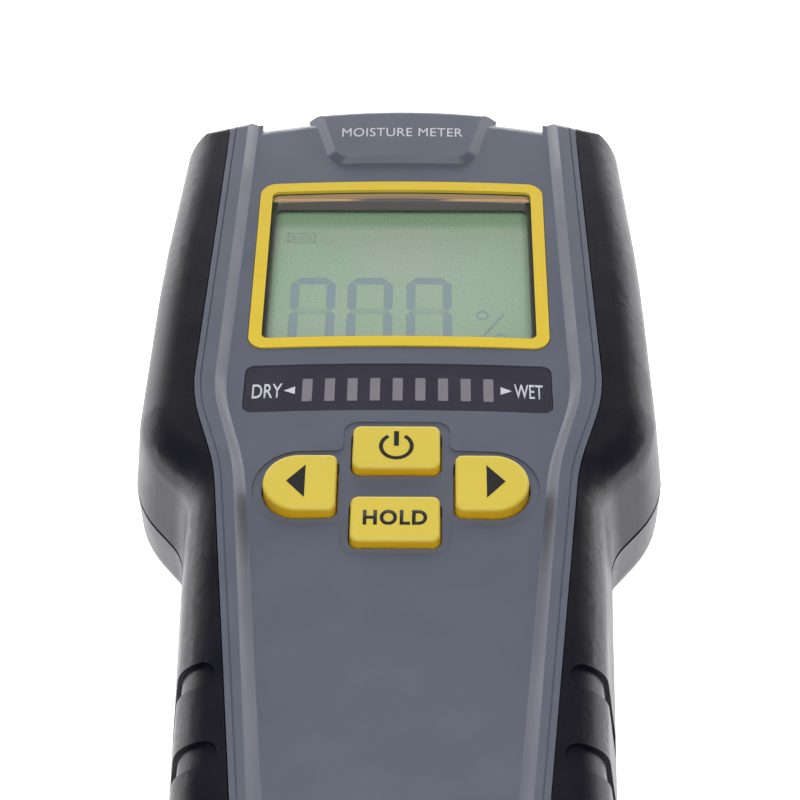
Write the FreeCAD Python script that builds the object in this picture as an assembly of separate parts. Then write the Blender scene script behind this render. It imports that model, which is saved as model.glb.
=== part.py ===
import FreeCAD, Part
import math
import os

from FreeCAD import Vector

# Pinless moisture meter, in millimetres. +X is the width, +Y runs to the sensing head, +Z is the
# display side. The meter lies on its back: the sensor pad's face and the grip's heel are at Z = 0.

# ---- driving dimensions -------------------------------------------------------------------------
LENGTH = 203.0
HALF_LENGTH = LENGTH / 2
SHOULDER_X = 37.75         # half width at the shoulders, the widest place
NECK_X = 29.75             # half width where the grip starts
PANEL_Z = 35.5             # crest of the front panel
CEILING_Z = 32.8           # flat inner face of the front shell
PARTING_Z = 19.5           # the two housing halves meet here
HEAD_BACK_Z = 6.5          # back face of the head
DISPLAY_Y = 68.0           # centre of the display
WALL = 2.2                 # hard plastic wall
SKIN = 2.0                 # soft overmould on the front half

PANEL_CROWN = 350.0        # radius of the front panel across the width
GRIP_CROWN = 230.0         # radius of the overmould across the width
GRIP_RISE = 1.9            # crest of the overmould's crown above the panel's
SIDE_DRAFT = 0.14          # the front half's sides lean in by this much per mm of height
FRONT_ROUND = 5.5          # rounding of the front edge of the sides
BACK_ROUND = 6.5           # rounding of the back edge

END_RADIUS, END_SLOPE = 130.0, 0.20
HEAD_CORNER_X, HEAD_CORNER_R = 34.6, 9.0
HEAD_FAR_X = 32.4          # where the sides' line would be far past the head's end
BUTT_RADIUS, BUTT_SLOPE = 90.0, 0.14

# How far in from the seam the rails' inner slope is, at heights above the panel's crest.
RAIL_CURVE = [(-1.1, 5.0), (-0.8, 4.4), (-0.4, 3.85), (0.0, 3.45), (0.5, 2.95), (1.0, 2.4), (1.7, 1.4),
              (2.1, 1.2)]
GROOVE_IN, GROOVE_W, GROOVE_DEPTH = 0.85, 0.22, 0.25   # fine groove along the rails, by the seam
SEAM_GAP = 0.15
PARTING_GAP = 0.5
PANEL_END_ROUND, RAIL_END_ROUND, BADGE_END_ROUND = 2.6, 1.5, 1.2
RAIL_INSIDE = 5.0          # the rails end within this distance of the seam
NOTCH_COUNT, NOTCH_FIRST_Y, NOTCH_PITCH = 5, -5.4, 11.5
NOTCH_L, NOTCH_DEPTH, NOTCH_X, NOTCH_LEAN = 3.6, 0.6, 21.8, 0.1

BADGE_RISE = 1.05
BEZEL_W, BEZEL_L, BEZEL_RING = 43.0, 34.6, 1.85
BEZEL_RISE = 0.2
BEZEL_FLANGE = 1.5
WINDOW_Z, WINDOW_T = 33.85, 1.0
STRIP_W, STRIP_L, STRIP_Y = 42.8, 8.6, DISPLAY_Y - 25.0
STRIP_Z = 33.6
LED_COUNT, LED_PITCH = 9, 3.15
LED_W, LED_L = 1.45, 4.25

KEYS_Y = DISPLAY_Y - 43.15
KEY_RISE = 1.3
KEY_TRAVEL = 0.8
KEY_GAP = 0.25
KEY_FLANGE = 0.55
PLAIN_KEY_W, PLAIN_KEY_L = 11.8, 7.5
PLAIN_KEY_Y = 6.15
SIDE_KEY_X, SIDE_KEY_W, SIDE_KEY_L = 12.8, 9.8, 9.5
KEY_RECESS = 0.3

BOARD_Z, BOARD_T = 24.0, 1.6
BOARD_TOP = BOARD_Z + BOARD_T
LCD_W, LCD_L, LCD_T, LCD_FACE_Z = 44.0, 35.0, 2.4, 31.0

PAD_W, PAD_L, PAD_Y, PAD_WALL = 46.0, 48.0, 65.0, 1.8
DOOR_X, DOOR_TOP_Y, DOOR_Z, DOOR_GAP = 16.5, -24.0, 10.6, 0.3
TONGUE_W, TONGUE_T = 1.1, 1.2
BATTERY_W, BATTERY_L, BATTERY_T = 26.5, 46.4, 17.5
BATTERY_TOP_Y, BATTERY_Z = -34.0, 8.6
SNAP_T = 3.8

CASE_SCREWS = [(26.5, 91.5, 10.2), (19.5, -10.0, 12.6)]
BOARD_SCREWS = [(27.5, 62.0), (14.0, 9.0)]

FIT = 0.1                  # clearance between fixed pieces
FAR = 140.0                # past every end of the object
ABOVE = PANEL_Z + 5.0      # past the top of everything
BELOW = -1.0               # past the bottom of everything
ROOF = CEILING_Z + 0.5     # a little way into the front shell's ceiling
UNDER_ROOF = CEILING_Z - 1.0

# Head corners of the seam, the badge and the recess round the keys, as (x, y, radius).
SEAM_LINE = [(26.0, FAR, 0.0), (28.6, 41.5, 28.0), (24.5, 28.2, 32.0), (11.3, -90.5, 8.5)]
SIDE_LINE = [(37.2, 70.0, 300.0), (SHOULDER_X, 34.5, 16.0), (NECK_X, 24.9, 8.0),
             (28.3, -12.0, 300.0), (26.6, -78.0, 60.0)]
BUTT_CORNER_X, BUTT_CORNER_R = 24.4, 14.0
BADGE_TOP = [(16.3, DISPLAY_Y + 48.0, 0.0), (9.8, DISPLAY_Y + 22.4, 2.0)]
BADGE_FOOT = [(18.8, DISPLAY_Y + 48.0, 0.0), (12.0, DISPLAY_Y + 21.3, 3.4)]
RECESS_LINE = [(7.2, 11.6, 1.8), (7.2, 6.5, 1.0), (19.2, 6.5, 6.2), (19.2, -6.4, 6.2),
               (7.2, -6.4, 1.0), (7.2, -11.4, 1.8)]

# Side view of the back as (y, z, radius): the level head and the dip for the fingers, then the heel.
HEAD_SIDE = [(FAR, HEAD_BACK_Z, 0.0), (30.0, HEAD_BACK_Z, 60.0), (2.0, 9.5, 60.0)]
HEEL_SIDE = [(-78.0, 0.0, 30.0), (-93.0, 0.0, 12.0), (-FAR, 12.0, 0.0)]

# Bosses and screws.
CASE_BOSS_R, CASE_PILOT_R, CASE_PILOT_L = 3.2, 1.45, 10.0
CASE_POST_R, CASE_BORE_R, CASE_HOLE_R = 4.0, 3.0, 1.6
CASE_SHANK_R, CASE_SHANK_TOP = 1.35, PARTING_Z + 9.0
CASE_HEAD_R, CASE_HEAD_T = 2.6, 1.8
BOARD_BOSS_R, BOARD_PILOT_R, BOARD_PILOT_L = 2.4, 1.1, 5.5
BOARD_HOLE_R, BOARD_SHANK_R, BOARD_SHANK_L = 1.3, 1.0, 5.0
BOARD_HEAD_R, BOARD_HEAD_T = 2.0, 1.4
CROSS_W, CROSS_DEPTH = 0.8, 0.8
SMALL_CROSS_W, SMALL_CROSS_DEPTH = 0.6, 0.6
CROSS_L, SMALL_CROSS_L = 3.4, 2.6

# Battery bay.
RIB_T, RIB_INSET = 1.6, 8.0
BAY_END_Y = -94.0
BAY_LEDGE_X, BAY_LEDGE_W, BAY_LEDGE_TOP = 16.95, 6.5, DOOR_Z + 2.2
BAY_WALL_X, BAY_WALL_T, BAY_WALL_LOW = 14.3, 1.3, DOOR_Z + 1.4
BAY_HEAD_T, BAY_HEAD_LIP_T, BAY_HEAD_LIP_LOW = 1.4, 2.0, 5.0
DOOR_WALL = 1.6
TONGUE_ROOT, TONGUE_L = 0.6, 62.0
DOOR_RIB_T, DOOR_RIB_INSET = 1.4, 11.0
THUMB_W, THUMB_LINE, THUMB_PITCH, THUMB_COUNT, THUMB_DEPTH = 13.0, 1.0, 2.2, 5, 0.6
THUMB_FIRST = 6.0          # from the door's top edge to the first thumb groove
FOAM_W, FOAM_L, FOAM_T = 20.0, 30.0, 1.6
BATTERY_EDGE = 1.8
TERMINAL_X, TERMINAL_T, PLUS_R, MINUS_R = 6.35, 1.8, 3.0, 2.5
SNAP_W, SNAP_INSET, SNAP_HOLE_R = 25.0, 2.2, 3.2

# Display and light bar details.
BEZEL_CORNER, BEZEL_HOLE_CORNER, FLANGE_CORNER = 2.4, 2.5, 3.0
FLANGE_T = 0.9
OPENING_CORNER, WINDOW_CORNER, WINDOW_LEDGE = 1.0, 0.9, 0.5
LCD_STEP, LCD_SHIFT = 3.0, 0.8
FRAME_WALL, FRAME_LIP, FRAME_CORNER = 1.7, 0.7, 1.0
ZEBRA_W, ZEBRA_INSET = 2.0, 1.4
STRIP_CORNER, STRIP_SINK, STRIP_LEDGE = 1.2, 0.15, 1.0
HOLDER_LOW, LED_TOP_GAP = 1.0, 0.2

# Circuit board and what it carries.
BOARD_LINE = [(30.4, 87.8, 1.5), (30.4, 39.5, 3.0), (22.6, 31.0, 3.0), (22.6, 4.5, 1.5)]
CHIP_W, CHIP_T, CHIP_AT = 12.0, 1.7, (-7.0, 52.0)
BUZZER_R, BUZZER_T, BUZZER_AT = 6.0, 5.0, (11.0, 29.0)
SOUND_HOLE_R, SOUND_HOLE_L = 1.0, 2.0
CAN_R, CAN_T, CANS_AT = 2.5, 7.0, [(-14.0, 33.0), (-7.5, 33.0)]
BATTERY_PLUG, SENSOR_PLUG = (0.0, 9.0), (12.0, 58.0)
PLUG_LOW, PLUG_L = BOARD_Z - 5.0, 5.0
WIRE_R, WIRE_BEND = 0.7, 9.0
CABLE_R, CABLE_BEND = 1.0, 3.4

# Sensor.
PAD_CORNER, PAD_RIM, PAD_EDGE, PAD_FACE_T = 8.0, 2.0, 1.4, 1.6
PAD_RIM_TOP = HEAD_BACK_Z + WALL + 1.4
SENSOR_BOARD_Z = 1.95
SENSOR_BOARD_TOP = SENSOR_BOARD_Z + BOARD_T
ELECTRODE_LOW, ELECTRODE_HIGH = SENSOR_BOARD_Z - 0.25, SENSOR_BOARD_Z - 0.02

# Keys and their mat.
PLAIN_CORNER, SIDE_CORNER, KEY_EDGE = 1.1, 1.0, 0.55
KEY_FLANGE_T, STEM_R, PILL_R, PAD_R = 1.0, 2.2, 1.9, 2.4
STEM_INTO = 0.5            # how far a key's stem runs into its flange
MAT_W, MAT_LOW_Y, MAT_HIGH_Y, MAT_CORNER = 41.0, KEYS_Y - 11.6, KEYS_Y + 11.9, 3.0
MAT_SIDE_T, MAT_END_T, MAT_WEB_T = 1.3, 0.7, 1.1


# ---- drawing helpers ----------------------------------------------------------------------------
def corner_wire(vertices):
    """A closed wire through (x, y, radius) corners in the XY plane, each rounded by its radius."""
    count = len(vertices)
    cuts = []
    for i, (x, y, radius) in enumerate(vertices):
        here = Vector(x, y, 0)
        cuts.append(rounded_corner(Vector(*vertices[i - 1][:2], 0), here,
                                   Vector(*vertices[(i + 1) % count][:2], 0), radius))
    return Part.Wire(joined_edges(cuts, True))


def rounded_corner(before, here, after, radius):
    """Where a rounding leaves the first leg, its middle point, and where it joins the second leg."""
    back = before - here
    ahead = after - here
    back.normalize()
    ahead.normalize()
    half = back.getAngle(ahead) / 2
    if radius <= 0 or half > math.pi / 2 - 1e-6:
        return here, None, here
    reach = radius / math.tan(half)
    middle = back + ahead
    middle.normalize()
    bulge = here + middle * (radius / math.sin(half) - radius)
    return here + back * reach, bulge, here + ahead * reach


def joined_edges(cuts, closed):
    edges = []
    for i, (start, bulge, end) in enumerate(cuts):
        if bulge is not None:
            edges.append(Part.Arc(start, bulge, end).toShape())
        if closed or i < len(cuts) - 1:
            following = cuts[(i + 1) % len(cuts)][0]
            if end.distanceToPoint(following) > 1e-6:
                edges.append(Part.LineSegment(end, following).toShape())
    return edges


def both_sides(half):
    """The whole outline from its right half, which runs from top to bottom."""
    return half + [(-x, y, r) for x, y, r in reversed(half) if x > 1e-9]


def inset(wire, distance):
    return wire.makeOffset2D(-distance) if distance else wire


def prism(wire, low, high):
    face = Part.Face(wire)
    face.translate(Vector(0, 0, low))
    return face.extrude(Vector(0, 0, high - low))


def tapered(low_wire, low, high_wire, high):
    low_wire.translate(Vector(0, 0, low))
    high_wire.translate(Vector(0, 0, high))
    return Part.makeLoft([low_wire, high_wire], True, True)


def rounded(width, length, radius, x=0.0, y=0.0):
    w, h = width / 2, length / 2
    corners = [(x - w, y - h), (x + w, y - h), (x + w, y + h), (x - w, y + h)]
    return corner_wire([(cx, cy, radius) for cx, cy in corners])


def block(width, length, low, high, x=0.0, y=0.0):
    return Part.makeBox(width, length, high - low, Vector(x - width / 2, y - length / 2, low))


def round_block(width, length, radius, low, high, x=0.0, y=0.0):
    return prism(rounded(width, length, radius, x, y), low, high)


def post(radius, low, high, x, y):
    return Part.makeCylinder(radius, high - low, Vector(x, y, low))


def crown(radius, crest):
    """Everything under a long cylinder along Y whose highest line is at the crest."""
    return Part.makeCylinder(radius, 2 * FAR, Vector(0, -FAR, crest - radius), Vector(0, 1, 0))


def under_panel(rise=0.0):
    return crown(PANEL_CROWN, PANEL_Z + rise)


def edges_where(shape, test):
    return [e for e in shape.Edges if test(e.BoundBox)]


def mirrored(spots):
    """Each (x, ...) spot and its twin on the other side."""
    return [(side * spot[0],) + tuple(spot[1:]) for spot in spots for side in (-1, 1)]


# ---- outlines -----------------------------------------------------------------------------------
def end_vertices(tip_y, radius, slope, side, corner_x, corner_radius):
    """The arched end's middle and corner, its arc reaching tip_y on the centre line."""
    apex = tip_y + side * radius * (math.sqrt(1 + slope * slope) - 1)
    return [(0.0, apex, radius), (corner_x, apex - side * slope * corner_x, corner_radius)]


def butt_vertices():
    middle, corner = end_vertices(-HALF_LENGTH, BUTT_RADIUS, BUTT_SLOPE, -1, BUTT_CORNER_X,
                                  BUTT_CORNER_R)
    return [corner, middle]


def body_outline():
    top = end_vertices(HALF_LENGTH, END_RADIUS, END_SLOPE, 1, HEAD_CORNER_X, HEAD_CORNER_R)
    return corner_wire(both_sides(top + SIDE_LINE + butt_vertices()))


def long_outline():
    """The housing's sides carried on past the head's end."""
    return corner_wire(both_sides([(HEAD_FAR_X, FAR, 0.0)] + SIDE_LINE + butt_vertices()))


def seam_outline():
    """Where the hard panel meets the soft overmould."""
    return corner_wire(both_sides(SEAM_LINE))


# ---- housing forms ------------------------------------------------------------------------------
def head_end(crown_radius, crest, rounding, depth=0.0):
    """Everything behind the head's end wall and under a crown, with a rounded edge between them."""
    middle, corner = end_vertices(HALF_LENGTH - depth, END_RADIUS - depth, END_SLOPE, 1, 60.0, 0.0)
    wire = corner_wire(both_sides([middle, corner, (60.0, -FAR, 0.0)]))
    form = prism(wire, 0, ABOVE).common(crown(crown_radius, crest))
    rim = edges_where(form, lambda b: b.YMin > 60 and b.ZMin > PARTING_Z and b.XLength > 10)
    return form.makeFillet(rounding, rim)


def front_form(depth):
    """The front half's outer form, taken in by a depth on every side but the parting plane."""
    form = tapered(inset(long_outline(), depth), PARTING_Z,
                   inset(long_outline(), depth + SIDE_DRAFT * (ABOVE - PARTING_Z)), ABOVE)
    form = form.common(crown(GRIP_CROWN, PANEL_Z + GRIP_RISE - depth))
    rim = edges_where(form, lambda b: b.ZMin > PARTING_Z + 1 and b.YMax < FAR - 12)
    rim += edges_where(form, lambda b: b.ZMin > PARTING_Z + 1 and b.YMax > FAR - 12
                       and b.YLength > 20)
    form = form.makeFillet(FRONT_ROUND - depth, rim)
    form = form.common(prism(inset(body_outline(), depth), 0, ABOVE))
    return form.common(head_end(GRIP_CROWN, PANEL_Z + GRIP_RISE - depth, RAIL_END_ROUND, depth))


def back_profile(depth):
    """Side view of the back: a level head, a hollow for the fingers and a heel to rest on."""
    back = [(y, z + depth, radius) for y, z, radius in HEAD_SIDE + HEEL_SIDE]
    roof = [(-FAR, PARTING_Z, 0.0), (FAR, PARTING_Z, 0.0)]
    side = Part.Face(corner_wire(back + roof))
    side.rotate(Vector(), Vector(1, 0, 0), 90)
    side.rotate(Vector(), Vector(0, 0, 1), 90)
    side.translate(Vector(-FAR, 0, 0))
    return side.extrude(Vector(2 * FAR, 0, 0))


def rear_form(depth):
    form = prism(inset(body_outline(), depth), -1, PARTING_Z).common(back_profile(depth))
    rim = edges_where(form, lambda b: b.ZMax < PARTING_Z - 3 and
                      max(b.XLength, b.YLength) > 1e-4)
    return form.makeFillet(BACK_ROUND - depth, rim)


# ---- housing ------------------------------------------------------------------------------------
def badge_pad():
    """Raised pad with sloping sides in the middle of the panel's top edge."""
    form = tapered(corner_wire(both_sides(BADGE_FOOT)), PANEL_Z - 1.0,
                   corner_wire(both_sides(BADGE_TOP)), PANEL_Z + BADGE_RISE)
    return form.common(under_panel(BADGE_RISE))


def key_recess():
    """Cross-shaped outline of the shallow recess round the keys."""
    return corner_wire(both_sides([(x, KEYS_Y + y, r) for x, y, r in RECESS_LINE]))


def sunk_panel():
    """What is taken out between the rails: it widens upwards in small steps of slope."""
    sections = []
    for height, distance in RAIL_CURVE:
        wire = inset(seam_outline(), distance)
        wire.translate(Vector(0, 0, PANEL_Z + height))
        sections.append(wire)
    return Part.makeLoft(sections, True, True).cut(under_panel())


def hard_panel():
    """Panel and rails inside the seam, with the badge pad."""
    inside = prism(inset(seam_outline(), SEAM_GAP / 2), PARTING_Z, ABOVE)
    slab = inside.common(crown(GRIP_CROWN, PANEL_Z + GRIP_RISE)).cut(sunk_panel())
    rails = slab.cut(prism(inset(seam_outline(), RAIL_INSIDE), 0, ABOVE))
    panel = slab.common(prism(inset(seam_outline(), RAIL_INSIDE), 0, ABOVE))
    slab = rails.common(head_end(GRIP_CROWN, PANEL_Z + GRIP_RISE, RAIL_END_ROUND))
    slab = slab.fuse([panel.common(head_end(PANEL_CROWN, PANEL_Z, PANEL_END_ROUND)),
                      badge_pad().common(inside).common(
                          head_end(PANEL_CROWN, PANEL_Z + BADGE_RISE, BADGE_END_ROUND))])
    recess = prism(key_recess(), PARTING_Z, ABOVE).cut(under_panel(-KEY_RECESS))
    groove = prism(inset(seam_outline(), GROOVE_IN), PARTING_Z, ABOVE).cut(
        prism(inset(seam_outline(), GROOVE_IN + GROOVE_W), 0, 2 * ABOVE))
    groove = groove.cut(crown(GRIP_CROWN, PANEL_Z + GRIP_RISE - GROOVE_DEPTH))
    return slab.cut([recess, groove])


def front_bosses():
    pillars = [post(CASE_BOSS_R, PARTING_Z + FIT, ROOF, x, y) for x, y, _ in mirrored(CASE_SCREWS)]
    pillars += [post(BOARD_BOSS_R, BOARD_TOP + FIT / 2, ROOF, x, y)
                for x, y in mirrored(BOARD_SCREWS)]
    pillars += [block(2 * BATTERY_W / 3, RIB_T, BATTERY_Z + BATTERY_T + FIT, ROOF, 0, y)
                for y in (BATTERY_TOP_Y - RIB_INSET, BATTERY_TOP_Y - BATTERY_L + RIB_INSET)]
    return pillars


def front_hollow():
    """The space inside, with a flat ceiling behind the panel."""
    hollow = front_form(SKIN + WALL).common(block(2 * FAR, 2 * FAR, 0, CEILING_Z))
    pocket = prism(inset(seam_outline(), 1.0), PARTING_Z, CEILING_Z)
    return hollow.fuse(pocket.common(prism(inset(body_outline(), SKIN + WALL), 0, FAR)))


def make_front_shell():
    shell = front_form(SKIN + FIT).fuse(hard_panel())
    shell = shell.cut(front_hollow())
    shell = shell.fuse(front_bosses())
    holes = [round_block(BEZEL_W + 2 * FIT, BEZEL_L + 2 * FIT, BEZEL_HOLE_CORNER, UNDER_ROOF, ABOVE,
                         0, DISPLAY_Y)]
    holes.append(round_block(STRIP_W + 2 * FIT, STRIP_L + 2 * FIT, STRIP_CORNER + FIT, STRIP_Z - FIT / 2,
                             ABOVE, 0, STRIP_Y))
    holes.append(round_block(STRIP_W - 2 * STRIP_LEDGE, STRIP_L - 1.6, 0.8, UNDER_ROOF, PANEL_Z,
                             0, STRIP_Y))
    holes += [prism(wire, UNDER_ROOF, ABOVE) for wire in key_wires(KEY_GAP)]
    holes += [post(CASE_PILOT_R, PARTING_Z, PARTING_Z + CASE_PILOT_L, x, y)
              for x, y, _ in mirrored(CASE_SCREWS)]
    holes += [post(BOARD_PILOT_R, BOARD_TOP, BOARD_TOP + BOARD_PILOT_L, x, y)
              for x, y in mirrored(BOARD_SCREWS)]
    return shell.cut(holes).removeSplitter()


def notch_slots():
    slots = []
    for i in range(NOTCH_COUNT):
        y = NOTCH_FIRST_Y - i * NOTCH_PITCH
        x = NOTCH_X - i * NOTCH_PITCH * NOTCH_LEAN
        half = NOTCH_L / 2
        for side in (-1, 1):
            corners = [(x, y - half, half * 0.98), (x, y + half, half * 0.98),
                       (FAR / 2, y + half, 0.0), (FAR / 2, y - half, 0.0)]
            slots.append(prism(corner_wire([(side * cx, cy, r) for cx, cy, r in corners]),
                               PARTING_Z, ABOVE))
    return slots


def make_grip_overmould():
    outer = front_form(0.0)
    skin = outer.cut(front_form(SKIN)).cut(prism(inset(seam_outline(), -SEAM_GAP / 2),
                                                 0, ABOVE))
    sunk = Part.makeCompound(notch_slots()).cut(front_form(NOTCH_DEPTH))
    skin = skin.cut(sunk)
    return skin.cut(block(2 * FAR, 2 * FAR, 0, PARTING_Z + PARTING_GAP))


def door_channel():
    """Room the battery door needs, with its tongues, right out through the butt."""
    length = DOOR_TOP_Y + FAR
    middle = (DOOR_TOP_Y - FAR) / 2
    wide = DOOR_X + DOOR_GAP
    opening = block(2 * wide, length, BELOW, DOOR_Z + DOOR_GAP, 0, middle)
    low = DOOR_Z - TONGUE_T
    slots = block(2 * (wide + TONGUE_W), length, low - DOOR_GAP, DOOR_Z + DOOR_GAP, 0, middle)
    return opening.fuse(slots)


def rear_posts():
    posts = [post(CASE_POST_R, 0, PARTING_Z, x, y) for x, y, _ in mirrored(CASE_SCREWS)]
    length = DOOR_TOP_Y - BAY_END_Y
    middle = (DOOR_TOP_Y + BAY_END_Y) / 2
    for side in (-1, 1):
        posts.append(block(BAY_LEDGE_W, length, 0, BAY_LEDGE_TOP, side * BAY_LEDGE_X, middle))
        posts.append(block(BAY_WALL_T, BATTERY_L + 4, BAY_WALL_LOW, PARTING_Z, side * BAY_WALL_X,
                           BATTERY_TOP_Y - BATTERY_L / 2))
    wide = 2 * (DOOR_X + 2.5)
    posts.append(block(wide, BAY_HEAD_T, BAY_WALL_LOW, PARTING_Z, 0, DOOR_TOP_Y + 1.0))
    posts.append(block(wide, BAY_HEAD_LIP_T, BAY_HEAD_LIP_LOW, BAY_LEDGE_TOP, 0, DOOR_TOP_Y + 1.2))
    return posts


def make_rear_shell():
    outer = rear_form(0.0)
    shell = outer.cut(rear_form(WALL)).fuse([p.common(outer) for p in rear_posts()])
    holes = [door_channel(), round_block(PAD_W + 2 * FIT, PAD_L + 2 * FIT, PAD_CORNER + FIT, BELOW,
                                         HEAD_BACK_Z + WALL + 1, 0, PAD_Y)]
    for x, y, seat in mirrored(CASE_SCREWS):
        holes.append(post(CASE_BORE_R, BELOW, seat, x, y))
        holes.append(post(CASE_HOLE_R, 0, PARTING_Z + 1, x, y))
    return shell.cut(holes).removeSplitter()


def make_battery_door():
    outer = rear_form(0.0)
    inner = rear_form(WALL)
    length = DOOR_TOP_Y - DOOR_GAP + FAR
    middle = (DOOR_TOP_Y - DOOR_GAP - FAR) / 2
    plate = block(2 * DOOR_X, length, BELOW, DOOR_Z, 0, middle).common(outer)
    hollow = block(2 * (DOOR_X - DOOR_WALL), length - DOOR_WALL, BELOW, DOOR_Z + 1, 0,
                   middle - DOOR_WALL / 2)
    under_battery = block(BATTERY_W + 1.0, length, BATTERY_Z - DOOR_GAP, DOOR_Z + 1, 0, middle)
    plate = plate.cut(hollow.common(inner)).cut(under_battery.common(rear_form(WALL / 2)))
    tongues = [block(TONGUE_W + TONGUE_ROOT, TONGUE_L, DOOR_Z - TONGUE_T, DOOR_Z,
                     side * (DOOR_X + (TONGUE_W - TONGUE_ROOT) / 2), DOOR_TOP_Y - TONGUE_L / 2 - 3)
               for side in (-1, 1)]
    ribs = [block(2 * DOOR_X - 2, DOOR_RIB_T, 0, BATTERY_Z - FOAM_T - FIT, 0, y).common(outer)
            for y in (BATTERY_TOP_Y - DOOR_RIB_INSET, BATTERY_TOP_Y - BATTERY_L + DOOR_RIB_INSET)]
    grip_lines = [block(THUMB_W, THUMB_LINE, BELOW, PARTING_Z, 0,
                        DOOR_TOP_Y - THUMB_FIRST - i * THUMB_PITCH).cut(rear_form(THUMB_DEPTH))
                  for i in range(THUMB_COUNT)]
    return plate.fuse(tongues + ribs).cut(grip_lines).removeSplitter()


# ---- display ------------------------------------------------------------------------------------
def make_display_bezel():
    ring = round_block(BEZEL_W, BEZEL_L, BEZEL_CORNER, CEILING_Z - FLANGE_T, ABOVE, 0, DISPLAY_Y)
    ring = ring.common(under_panel(BEZEL_RISE))
    ring = ring.fuse(round_block(BEZEL_W + 2 * BEZEL_FLANGE, BEZEL_L + 2 * BEZEL_FLANGE,
                                 FLANGE_CORNER, CEILING_Z - FLANGE_T, CEILING_Z - FIT,
                                 0, DISPLAY_Y))
    opening = (BEZEL_W - 2 * BEZEL_RING, BEZEL_L - 2 * BEZEL_RING)
    ring = ring.cut(round_block(*opening, OPENING_CORNER, WINDOW_Z - FIT / 2, ABOVE,
                                0, DISPLAY_Y))
    narrowed = (side - 2 * WINDOW_LEDGE for side in opening)
    return ring.cut(round_block(*narrowed, WINDOW_CORNER, CEILING_Z - 2, PANEL_Z, 0, DISPLAY_Y))


def make_display_window():
    width = BEZEL_W - 2 * BEZEL_RING - 2 * FIT
    length = BEZEL_L - 2 * BEZEL_RING - 2 * FIT
    return round_block(width, length, WINDOW_CORNER, WINDOW_Z, WINDOW_Z + WINDOW_T, 0, DISPLAY_Y)


def make_lcd_glass():
    low = LCD_FACE_Z - LCD_T
    lower = block(LCD_W, LCD_L, low, low + LCD_T / 2, 0, DISPLAY_Y)
    upper = block(LCD_W, LCD_L - LCD_STEP, low + LCD_T / 2, LCD_FACE_Z, 0, DISPLAY_Y + LCD_SHIFT)
    return lower.fuse(upper)


def make_lcd_backlight():
    return block(LCD_W - 1.0, LCD_L - 2 * LCD_STEP, BOARD_TOP + 3 * FIT,
                 LCD_FACE_Z - LCD_T - FIT, 0, DISPLAY_Y)


def make_lcd_frame():
    outer = round_block(LCD_W + 2 * FRAME_WALL, LCD_L + 2 * FRAME_WALL, FRAME_CORNER,
                        BOARD_TOP + FIT / 2, LCD_FACE_Z + FRAME_LIP,
                        0, DISPLAY_Y)
    return outer.cut(block(LCD_W + 2 * FIT, LCD_L + 2 * FIT, BOARD_TOP, LCD_FACE_Z + 1,
                           0, DISPLAY_Y))


def make_zebra_strips():
    return [block(LCD_W - 3.0, ZEBRA_W, BOARD_TOP + FIT / 2, LCD_FACE_Z - LCD_T - FIT / 2, 0,
                  DISPLAY_Y + side * (LCD_L / 2 - ZEBRA_INSET)) for side in (-1, 1)]


def make_bar_window():
    plate = round_block(STRIP_W, STRIP_L, STRIP_CORNER, STRIP_Z, ABOVE, 0, STRIP_Y)
    return plate.common(under_panel(-STRIP_SINK))


def led_places():
    return [(i - (LED_COUNT - 1) / 2) * LED_PITCH for i in range(LED_COUNT)]


def make_bar_leds():
    return [block(LED_W, LED_L, BOARD_TOP + FIT / 2, STRIP_Z - LED_TOP_GAP, x, STRIP_Y)
            for x in led_places()]


def make_bar_holder():
    comb = round_block(STRIP_W - 2.4, STRIP_L - 2.0, 0.6, BOARD_TOP + HOLDER_LOW,
                       STRIP_Z - LED_TOP_GAP,
                       0, STRIP_Y)
    return comb.cut([block(LED_W + 2 * FIT, LED_L + 2 * FIT, BOARD_TOP, PANEL_Z, x, STRIP_Y)
                     for x in led_places()])


# ---- keys ---------------------------------------------------------------------------------------
def plain_key_wire(side, grow):
    return rounded(PLAIN_KEY_W + 2 * grow, PLAIN_KEY_L + 2 * grow, PLAIN_CORNER + grow, 0,
                   KEYS_Y + side * PLAIN_KEY_Y)


def side_key_wire(side, grow):
    """A key that is square towards the middle and round outwards."""
    x = SIDE_KEY_X
    w, h = SIDE_KEY_W / 2 + grow, SIDE_KEY_L / 2 + grow
    corners = [(x - w, -h, SIDE_CORNER + grow), (x + w, -h, h - 0.01), (x + w, h, h - 0.01),
               (x - w, h, SIDE_CORNER + grow)]
    return corner_wire([(side * cx, KEYS_Y + cy, r) for cx, cy, r in corners])


def key_wires(grow):
    return [plain_key_wire(1, grow), plain_key_wire(-1, grow),
            side_key_wire(-1, grow), side_key_wire(1, grow)]


def key_centres():
    return [(0, KEYS_Y + PLAIN_KEY_Y), (0, KEYS_Y - PLAIN_KEY_Y),
            (-SIDE_KEY_X, KEYS_Y), (SIDE_KEY_X, KEYS_Y)]


PILL_Z = BOARD_TOP + 0.15 + KEY_TRAVEL
PILL_T = 0.6
MAT_Z = CEILING_Z - FIT


def make_key(wire, flange_wire, x, y):
    cap = prism(wire, MAT_Z - KEY_FLANGE_T, PANEL_Z + KEY_RISE)
    rim = edges_where(cap, lambda b: b.ZMin > PANEL_Z + KEY_RISE - 0.01)
    cap = cap.makeFillet(KEY_EDGE, rim)
    flange = prism(flange_wire, MAT_Z - KEY_FLANGE_T, MAT_Z)
    stem = post(STEM_R, PILL_Z + PILL_T, MAT_Z - STEM_INTO, x, y)
    return cap.fuse([flange, stem]).removeSplitter()


def make_pill(x, y):
    return post(PILL_R, PILL_Z, PILL_Z + PILL_T, x, y)


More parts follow.
